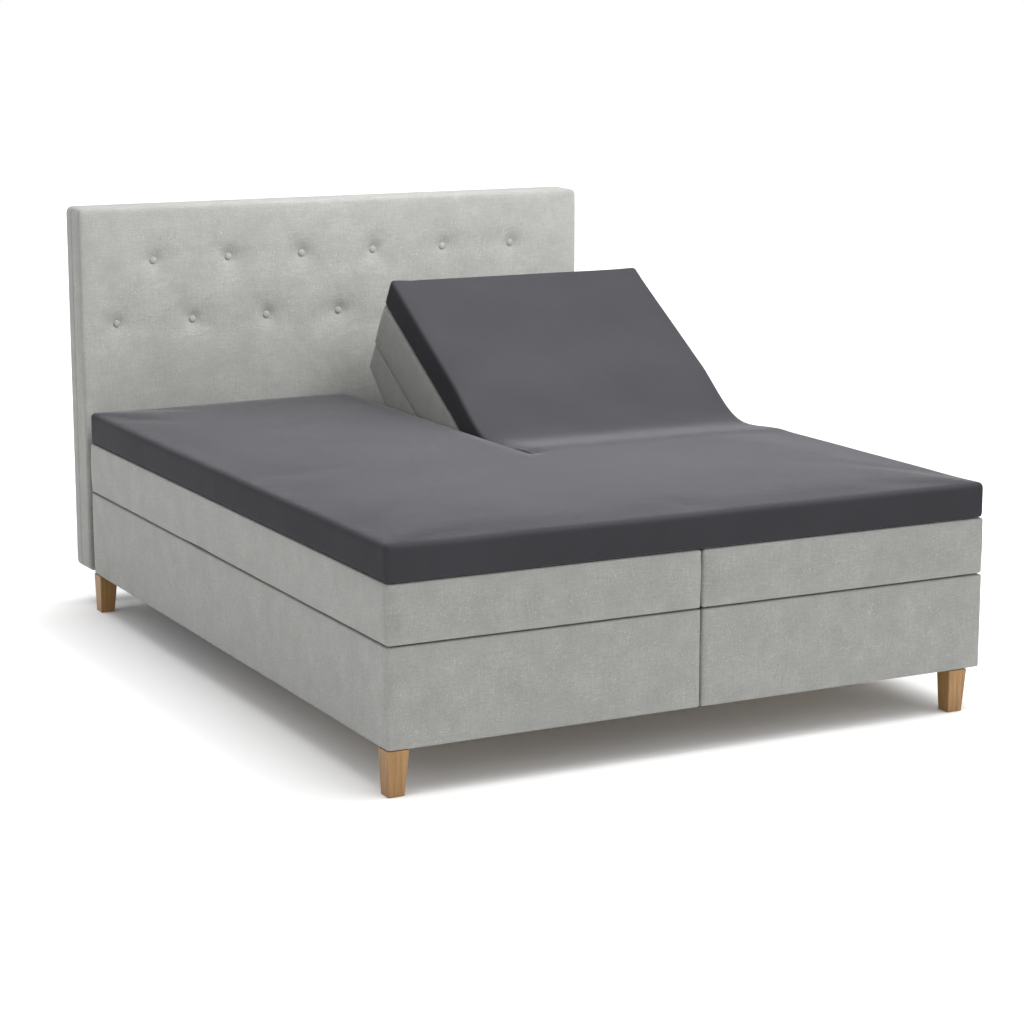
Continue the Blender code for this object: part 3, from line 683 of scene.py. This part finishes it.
# ---------------------------------------------------------------- mattresses
MATTRESS_EDGE = 0.006
MATTRESS_CROWN = 0.0025
MATTRESS_WAVE = 0.0007
# The grid's steps across, along and up the mattress.
MATTRESS_STEPS = (0.045, 0.018, 0.020)
# The underside's lift near the back hinge: how much, where, how far along and how far up.
UNDERSIDE_LIFT = {"left": 0.002, "right": 0.005}
LIFT_Y = BACK_HINGE[0] - 0.060
LIFT_REACH = 0.075
LIFT_HEIGHT = 0.070


def hollowed(points, side):
    """Lifts the underside a little by the back hinge, where it sinks as the back goes up."""
    offset = (points[:, 1] - LIFT_Y) / LIFT_REACH
    share = np.clip(1 - (points[:, 2] - MATTRESS_LOW.z) / LIFT_HEIGHT, 0, 1)
    points[:, 2] += UNDERSIDE_LIFT[side] * np.exp(-(offset**2)) * share
    return points


def mattress_mesh(side, sign):
    """One whole mattress lying flat."""
    low, high = MATTRESS_LOW.copy(), MATTRESS_HIGH.copy()
    if sign < 0:
        low.x, high.x = -MATTRESS_HIGH.x, -MATTRESS_LOW.x
    edge = MATTRESS_EDGE
    xs = grid_lines(low.x, high.x, MATTRESS_STEPS[0], edge, edge)
    ys = grid_lines(low.y, high.y, MATTRESS_STEPS[1], edge, edge, (BACK_CUT, KNEE_CUT))
    zs = grid_lines(low.z, high.z, MATTRESS_STEPS[2], edge, edge)
    mesh = block("mattress", xs, ys, zs)
    points = rounded(points_of(mesh), [(low[a], edge, high[a], edge) for a in range(3)])
    points = crowned_sides(points, low, high, MATTRESS_CROWN)
    outer = np.abs(points[:, 0]) > abs(low.x + high.x) / 2
    points[outer, 0] += MATTRESS_WAVE * ripple(points[outer], 9.0, 3)
    foot = points[:, 1] < low.y + 0.05
    points[foot, 1] += MATTRESS_WAVE * ripple(points[foot], 9.0, 4)
    set_points(mesh, hollowed(points, side))
    keep_cloth_place(mesh)
    return mesh


def build_mattress(side, sign):
    """One mattress in three pieces; the right one's head piece is raised over its back hinge."""
    mesh = mattress_mesh(side, sign)
    spans = {"head": (BACK_CUT, None), "middle": (KNEE_CUT, BACK_CUT), "foot": (None, KNEE_CUT)}
    made = {}
    for part, (start, end) in spans.items():
        name = f"mattress_{part}_{side}"
        made[part] = new_object(name, slice_of(mesh, name, start, end), GREY)
    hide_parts(f"mattress_back_{side}", f"mattress_back_bend_{side}")
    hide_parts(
        f"mattress_seat_{side}", f"mattress_hip_bend_{side}", f"mattress_thigh_{side}"
    )
    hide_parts(f"mattress_calf_{side}")
    bend_back(made["head"], side)
    bend_level(made["middle"])
    bend_level(made["foot"])


# ---------------------------------------------------------------- upholstered boxes
BASE_CORNER = 0.008
BASE_EDGE = 0.004
BASE_CROWN = 0.0015
BASE_WAVE = 0.0008
OUTER_PANEL = BASE_OUTER_HIGH.x - BASE_OUTER_LOW.x


def inner_step():
    """Where the inner side steps down, as (y, z): the foot end and the top of its low part."""
    points = points_of(frame["nodes"]["base_side_inner_right"].data)
    high_part = points[points[:, 2] > BASE_INNER_HIGH.z - 0.001]
    head_end = points[points[:, 1] > BASE_INNER_HIGH.y - 0.01]
    return high_part[:, 1].max(), head_end[:, 2].max()


def build_base_cover(side, sign):
    """The padded cover round a unit's four walls, lower beside and behind the lifting back."""
    low = Vector((BASE_INNER_LOW.x, BASE_OUTER_LOW.y, BASE_OUTER_LOW.z))
    high = Vector((BASE_OUTER_HIGH.x, BASE_HEAD_HIGH.y, BASE_OUTER_HIGH.z))
    inner_wall, outer_wall = BASE_INNER_HIGH.x, BASE_OUTER_LOW.x
    foot_wall, head_wall = low.y + OUTER_PANEL, BASE_HEAD_LOW.y
    step_y, step_z = inner_step()
    xs = grid_lines(low.x, high.x, 0.030, BASE_CORNER, BASE_CORNER, (inner_wall, outer_wall))
    ys = grid_lines(low.y, high.y, 0.030, BASE_CORNER, BASE_CORNER, (foot_wall, step_y, head_wall))
    zs = grid_lines(low.z, high.z, 0.025, BASE_EDGE, BASE_EDGE, (step_z, BASE_HEAD_HIGH.z))
    x, y, z = middles(xs)[:, None, None], middles(ys)[None, :, None], middles(zs)[None, None, :]
    solid = (x < inner_wall) | (x > outer_wall) | (y < foot_wall) | (y > head_wall)
    solid = np.broadcast_to(solid, (len(xs) - 1, len(ys) - 1, len(zs) - 1)).copy()
    solid &= ~((x < inner_wall) & (y > step_y) & (z > step_z))
    solid &= ~((x < outer_wall) & (y > head_wall) & (z > BASE_HEAD_HIGH.z))
    mesh = skin(f"base_cover_{side}", xs, ys, zs, solid)
    mesh.shade_smooth()
    mesh.set_sharp_from_angle(angle=radians(50))
    points = rounded(
        points_of(mesh),
        (
            (low.x, BASE_CORNER, high.x, BASE_CORNER),
            (low.y, BASE_CORNER, high.y, BASE_CORNER),
            (low.z, BASE_EDGE, high.z, BASE_EDGE),
        ),
    )
    points = crowned_sides(points, low, high, BASE_CROWN)
    outside = (points[:, 0] > high.x - 0.004) | (points[:, 1] < low.y + 0.004)
    wave = BASE_WAVE * ripple(points[outside], 7.0, 6)
    points[outside, 0] += wave
    points[outside, 1] += wave
    if sign < 0:
        points = mirrored(mesh, points)
    set_points(mesh, points)
    keep_cloth_place(mesh)
    cover = new_object(f"base_cover_{side}", mesh, GREY)
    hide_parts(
        f"base_side_outer_{side}", f"base_foot_{side}", f"base_side_inner_{side}", f"base_head_{side}"
    )
    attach(cover, "base")


# ---------------------------------------------------------------- boxes under the backs
TRAY_FOOT_Y = BACK_HINGE[0] + 0.060
TRAY_EDGE = 0.010
TRAY_CROWN = 0.0012
TRAY_SLOPE = 0.200
TRAY_RISE = 0.040
# The black lining ends this far inside the edges that it is stapled to.
LINING_INSET = 0.030


def tray_points(points):
    """Lifts the underside of the box towards the head end, where it slants up."""
    share = np.clip((points[:, 1] - (TRAY_HIGH.y - TRAY_SLOPE)) / TRAY_SLOPE, 0, 1)
    height = (TRAY_HIGH.z - points[:, 2]) / (TRAY_HIGH.z - TRAY_LOW.z)
    points[:, 2] += share * height * TRAY_RISE
    return points


def build_tray_cover(side, sign):
    """The upholstered box under a lifting back, with black lining below."""
    low = Vector((-TRAY_HIGH.x, TRAY_FOOT_Y, TRAY_LOW.z))
    high = Vector((-TRAY_LOW.x, TRAY_HIGH.y, TRAY_HIGH.z))
    xs = grid_lines(low.x, high.x, 0.040, TRAY_EDGE, TRAY_EDGE)
    ys = grid_lines(low.y, high.y, 0.030, TRAY_EDGE, TRAY_EDGE)
    zs = grid_lines(low.z, high.z, 0.020, TRAY_EDGE, TRAY_EDGE)
    mesh = block(f"tray_cover_{side}", xs, ys, zs)
    points = rounded(points_of(mesh), [(low[a], TRAY_EDGE, high[a], TRAY_EDGE) for a in range(3)])
    points = tray_points(crowned_sides(points, low, high, TRAY_CROWN))
    if sign < 0:
        points = mirrored(mesh, points)
    set_points(mesh, points)
    keep_cloth_place(mesh)
    cover = new_object(f"tray_cover_{side}", mesh, GREY, LINING)
    for face in mesh.polygons:
        middle = face.center
        inset = min(abs(middle.x) - low.x, high.x - abs(middle.x), middle.y - low.y, high.y - middle.y)
        face.material_index = int(face.normal.z < -0.7 and inset > LINING_INSET)
    if side == "right":
        y, z = turn(points[:, 1], points[:, 2], RAISED)
        set_points(mesh, np.column_stack([points[:, 0], y, z]))
    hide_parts(f"back_tray_{side}")
    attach(cover, f"back_{side}")


# ---------------------------------------------------------------- headboard
HEADBOARD_CORNER = 0.018
PAD_FRONT_EDGE = 0.012
PAD_BACK_EDGE = 0.005
PAD_STEP = 0.016
PAD_RIPPLE = 0.0006
# The number of buttons in each row, by the row's height.
BUTTON_ROWS = {0.975: 6, 0.801: 7}
BUTTON_SPACING = 0.2275
BUTTON_RADIUS = 0.011
BUTTON_LIFT = 0.0015
# The soft hollow round a button, its four pull folds, and the tuck close round the thread.
DIMPLE_DEPTH = 0.020
DIMPLE_REACH = 0.034
PULL_DEPTH = 0.0007
PULL_PLACE = 0.035
PULL_REACH = 0.030
TUCK_DEPTH = 0.006
TUCK_REACH = 0.017


def button_places():
    """The (x, z) of every button. A row with one more button stands half a space aside of the other."""
    places = []
    for height, count in BUTTON_ROWS.items():
        for i in range(count):
            places.append(((i - (count - 1) / 2) * BUTTON_SPACING, height))
    return places


def outline_inset(x, z, low, high, corner):
    """How far inside a rounded outline each point is, and the way out of it."""
    centre = np.array([(low.x + high.x) / 2, (low.z + high.z) / 2])
    half = np.array([(high.x - low.x) / 2, (high.z - low.z) / 2]) - corner
    place = np.column_stack([x, z]) - centre
    over = np.abs(place) - half
    outside = np.maximum(over, 0)
    reach = np.linalg.norm(outside, axis=1)
    depth = corner - reach - np.minimum(over.max(axis=1), 0)
    straight = np.zeros_like(over)
    straight[np.arange(len(over)), over.argmax(axis=1)] = 1
    way = np.where(reach[:, None] > 1e-6, outside / np.maximum(reach, 1e-6)[:, None], straight)
    return depth, way * np.sign(place)


def panel_points(points, low, high, front_edge, back_edge):
    """Rounds an upright panel: its outline's corners, then its front and back edges."""
    corner = HEADBOARD_CORNER
    flat = points.copy()
    flat[:, 1] = 0
    level = rounded(flat, ((low.x, corner, high.x, corner), (-1, 0, 1, 0), (low.z, corner, high.z, corner)))
    x, z = level[:, 0], level[:, 2]
    depth, way = outline_inset(x, z, low, high, corner)
    y = points[:, 1].copy()
    inset = np.zeros(len(points))
    for edge, place, sign in ((front_edge, low.y, 1), (back_edge, high.y, -1)):
        across = np.clip((edge - np.maximum(depth, 0)) / edge, 0, 1)
        along = np.clip((edge - (y - place) * sign) / edge, 0, 1)
        length = np.maximum(np.hypot(across, along), 1)
        near = length > 1
        inset = np.where(near, edge * (across - across / length), inset)
        y = np.where(near, place + sign * edge * (1 - along / length), y)
    return np.column_stack([x - way[:, 0] * inset, y, z - way[:, 1] * inset])


def dimpled(points, front):
    """Presses the pad in at each button, with short pull folds running out of it."""
    facing = np.clip((front + 0.030 - points[:, 1]) / 0.030, 0, 1)
    for number, (x, z) in enumerate(button_places()):
        dx, dz = points[:, 0] - x, points[:, 2] - z
        reach = np.hypot(dx, dz)
        angle = np.arctan2(dz, dx)
        press = DIMPLE_DEPTH * np.exp(-((reach / DIMPLE_REACH) ** 1.15))
        pulls = np.cos(4 * angle + 1.3 * number) * np.exp(-(((reach - PULL_PLACE) / PULL_REACH) ** 2))
        points[:, 1] += facing * (press + PULL_DEPTH * pulls)
    return points


def tuck(points):
    """The extra depth close round each button, where its thread pulls the cloth in."""
    depth = np.zeros(len(points))
    for x, z in button_places():
        reach = np.hypot(points[:, 0] - x, points[:, 2] - z)
        depth += TUCK_DEPTH * np.exp(-((reach / TUCK_REACH) ** 2))
    return depth


def build_headboard_pad():
    """The buttoned pad: pressed in at the buttons, swelled round them, then made finer and tucked."""
    low, high = PAD_LOW.copy(), PAD_HIGH.copy()
    low.y += SWELL_ROOM
    corner = HEADBOARD_CORNER
    xs = grid_lines(low.x, high.x, PAD_STEP, corner, corner)
    ys = grid_lines(low.y, high.y, 0.018, PAD_FRONT_EDGE, PAD_BACK_EDGE)
    zs = grid_lines(low.z, high.z, PAD_STEP, corner, corner)
    mesh = block("headboard_cover", xs, ys, zs)
    points = panel_points(points_of(mesh), low, high, PAD_FRONT_EDGE, PAD_BACK_EDGE)
    set_points(mesh, dimpled(points, low.y))
    coarse = new_object("headboard_coarse", mesh)
    points = points_of(mesh)
    held = points[:, 1] > high.y - 0.020
    for x, z in button_places():
        held |= np.hypot(points[:, 0] - x, points[:, 2] - z) < BUTTON_RADIUS
    swell(coarse, held, pressure=2.0, cap=0.0008)
    mesh = subdivided(coarse.data.copy())
    bpy.data.objects.remove(coarse)
    mesh.shade_smooth()
    points = points_of(mesh)
    front = np.clip((high.y - points[:, 1]) / 0.05, 0, 1)
    points[:, 1] += front * (PAD_RIPPLE * ripple(points, 6.0, 8) + tuck(points))
    set_points(mesh, points)
    pad = new_object("headboard_cover", mesh, GREY)
    keep_cloth_place(mesh)
    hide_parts("headboard_pad")
    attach(pad, "base")
    return pad


def build_headboard_back():
    """The upholstered frame behind the pad, with black lining on its back."""
    low, high = BOARD_LOW, BOARD_HIGH
    corner = HEADBOARD_CORNER
    xs = grid_lines(low.x, high.x, 0.040, corner, corner)
    ys = grid_lines(low.y, high.y, 0.012, PAD_BACK_EDGE, PAD_BACK_EDGE)
    zs = grid_lines(low.z, high.z, 0.040, corner, corner)
    mesh = block("headboard_frame", xs, ys, zs)
    set_points(mesh, panel_points(points_of(mesh), low, high, PAD_BACK_EDGE, PAD_BACK_EDGE))
    keep_cloth_place(mesh)
    back = new_object("headboard_frame", mesh, GREY, LINING)
    for face in mesh.polygons:
        middle = face.center
        inset = min(middle.x - low.x, high.x - middle.x, middle.z - low.z, high.z - middle.z)
        face.material_index = int(face.normal.y > 0.9 and inset > LINING_INSET)
    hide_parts("headboard_board")
    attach(back, "base")


def button_mesh():
    """A cloth-covered button: a low dome with a rolled rim, its face towards -Y."""
    profile = [(0.0, 0.0060), (0.35, 0.0057), (0.62, 0.0048), (0.84, 0.0030), (0.97, 0.0008), (1.0, -0.0012)]
    profile += [(0.93, -0.0030), (0.70, -0.0036), (0.0, -0.0038)]
    bm = bmesh.new()
    ring = [bm.verts.new((share * BUTTON_RADIUS, -height, 0)) for share, height in profile]
    for first, second in zip(ring, ring[1:]):
        bm.edges.new((first, second))
    outline = bm.verts[:] + bm.edges[:]
    bmesh.ops.spin(bm, geom=outline, axis=(0, 1, 0), cent=(0, 0, 0), angle=2 * pi, steps=28)
    bmesh.ops.remove_doubles(bm, verts=bm.verts, dist=1e-5)
    bmesh.ops.recalc_face_normals(bm, faces=bm.faces)
    mesh = bpy.data.meshes.new("button")
    bm.to_mesh(mesh)
    bm.free()
    mesh.shade_smooth()
    return mesh


def build_buttons(pad):
    """Each button sits at the bottom of its dimple."""
    points = points_of(pad.data)
    shape = button_mesh()
    for number, (x, z) in enumerate(button_places(), 1):
        near = np.hypot(points[:, 0] - x, points[:, 2] - z) < BUTTON_RADIUS
        near &= points[:, 1] < PAD_HIGH.y - 0.03
        bottom = points[near, 1].mean()
        mesh = shape.copy()
        set_points(mesh, points_of(mesh) + (x, bottom - BUTTON_LIFT, z))
        keep_cloth_place(mesh)
        button = new_object(f"headboard_button_{number:02d}", mesh, GREY)
        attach(button, "base")


# ---------------------------------------------------------------- floor, light and camera
WORLD_LIGHT = 0.72
CAMERA_LENS = 93.0
CAMERA_PLACE = (-3.1027, -6.1401, 1.7639)
# Degrees: how far the camera looks down, and how far to the right of +Y.
CAMERA_DOWN = 11.441
CAMERA_RIGHT = 27.298


def build_floor():
    """A wide pale floor, bright enough to meet the white background without an edge. It also glows faintly, a
    painted light that lightens the bed's shadow on it.
    """
    bpy.ops.mesh.primitive_plane_add(size=60, location=(0, 10, -0.0004))
    floor = bpy.context.object
    floor.name = "floor"
    material, _, shader = new_material("pale_floor")
    shader.inputs["Base Color"].default_value = (0.93, 0.93, 0.93, 1)
    # Painted light: a faint glow over the whole floor, which lightens the shadow under the bed.
    shader.inputs["Emission Color"].default_value = (1, 1, 1, 1)
    shader.inputs["Emission Strength"].default_value = 0.035
    shader.inputs["Roughness"].default_value = 0.9
    shader.inputs["Specular IOR Level"].default_value = 0.1
    floor.data.materials.append(material)


def add_area_light(name, location, target, size, power):
    """A round light at a place, aimed at a target."""
    light = bpy.data.lights.new(name, "AREA")
    light.shape = "DISK"
    light.size = size
    light.energy = power
    obj = bpy.data.objects.new(name, light)
    obj.location = location
    obj.rotation_euler = (Vector(target) - Vector(location)).to_track_quat("-Z", "Y").to_euler()
    bpy.context.scene.collection.objects.link(obj)


def add_sun(name, direction, strength, angle):
    """A soft sun that stands in a direction seen from the bed."""
    light = bpy.data.lights.new(name, "SUN")
    light.energy = strength
    light.angle = angle
    obj = bpy.data.objects.new(name, light)
    obj.rotation_euler = Vector(direction).to_track_quat("Z", "Y").to_euler()
    bpy.context.scene.collection.objects.link(obj)


def build_light():
    """An even white world, a broad soft sun above, a weak one in front and a lamp on the headboard."""
    world = bpy.data.worlds.new("studio")
    bpy.context.scene.world = world
    world.use_nodes = True
    tree = world.node_tree
    background = tree.nodes["Background"]
    background.inputs["Color"].default_value = (1, 1, 1, 1)
    seen = tree.nodes.new("ShaderNodeLightPath").outputs["Is Camera Ray"]
    link(tree, ranged(tree, seen, WORLD_LIGHT, 1.0, 0, 1), background.inputs["Strength"])
    bpy.context.scene.view_settings.view_transform = "Standard"
    add_sun("overhead", (0.28, 0.14, 1.0), strength=2.35, angle=radians(70))
    add_sun("front_fill", (0.5, -1.0, 0.25), strength=0.45, angle=radians(60))
    add_area_light("headboard_light", (0.3, -0.85, 2.3), (0, HEAD_Y, 0.60), size=1.0, power=74)


def build_camera():
    """The view from beyond the left foot corner, from above the headboard's height."""
    camera = bpy.data.cameras.new("camera")
    camera.lens = CAMERA_LENS
    camera.sensor_width = 36.0
    obj = bpy.data.objects.new("camera", camera)
    obj.location = CAMERA_PLACE
    obj.rotation_euler = (radians(90 - CAMERA_DOWN), 0, radians(-CAMERA_RIGHT))
    bpy.context.scene.collection.objects.link(obj)
    bpy.context.scene.camera = obj


paint_cad_nodes()
build_topper()
for side_name, side_sign in SIDES.items():
    build_mattress(side_name, side_sign)
    build_base_cover(side_name, side_sign)
    build_tray_cover(side_name, side_sign)
build_headboard_back()
build_buttons(build_headboard_pad())
build_floor()
build_light()
build_camera()
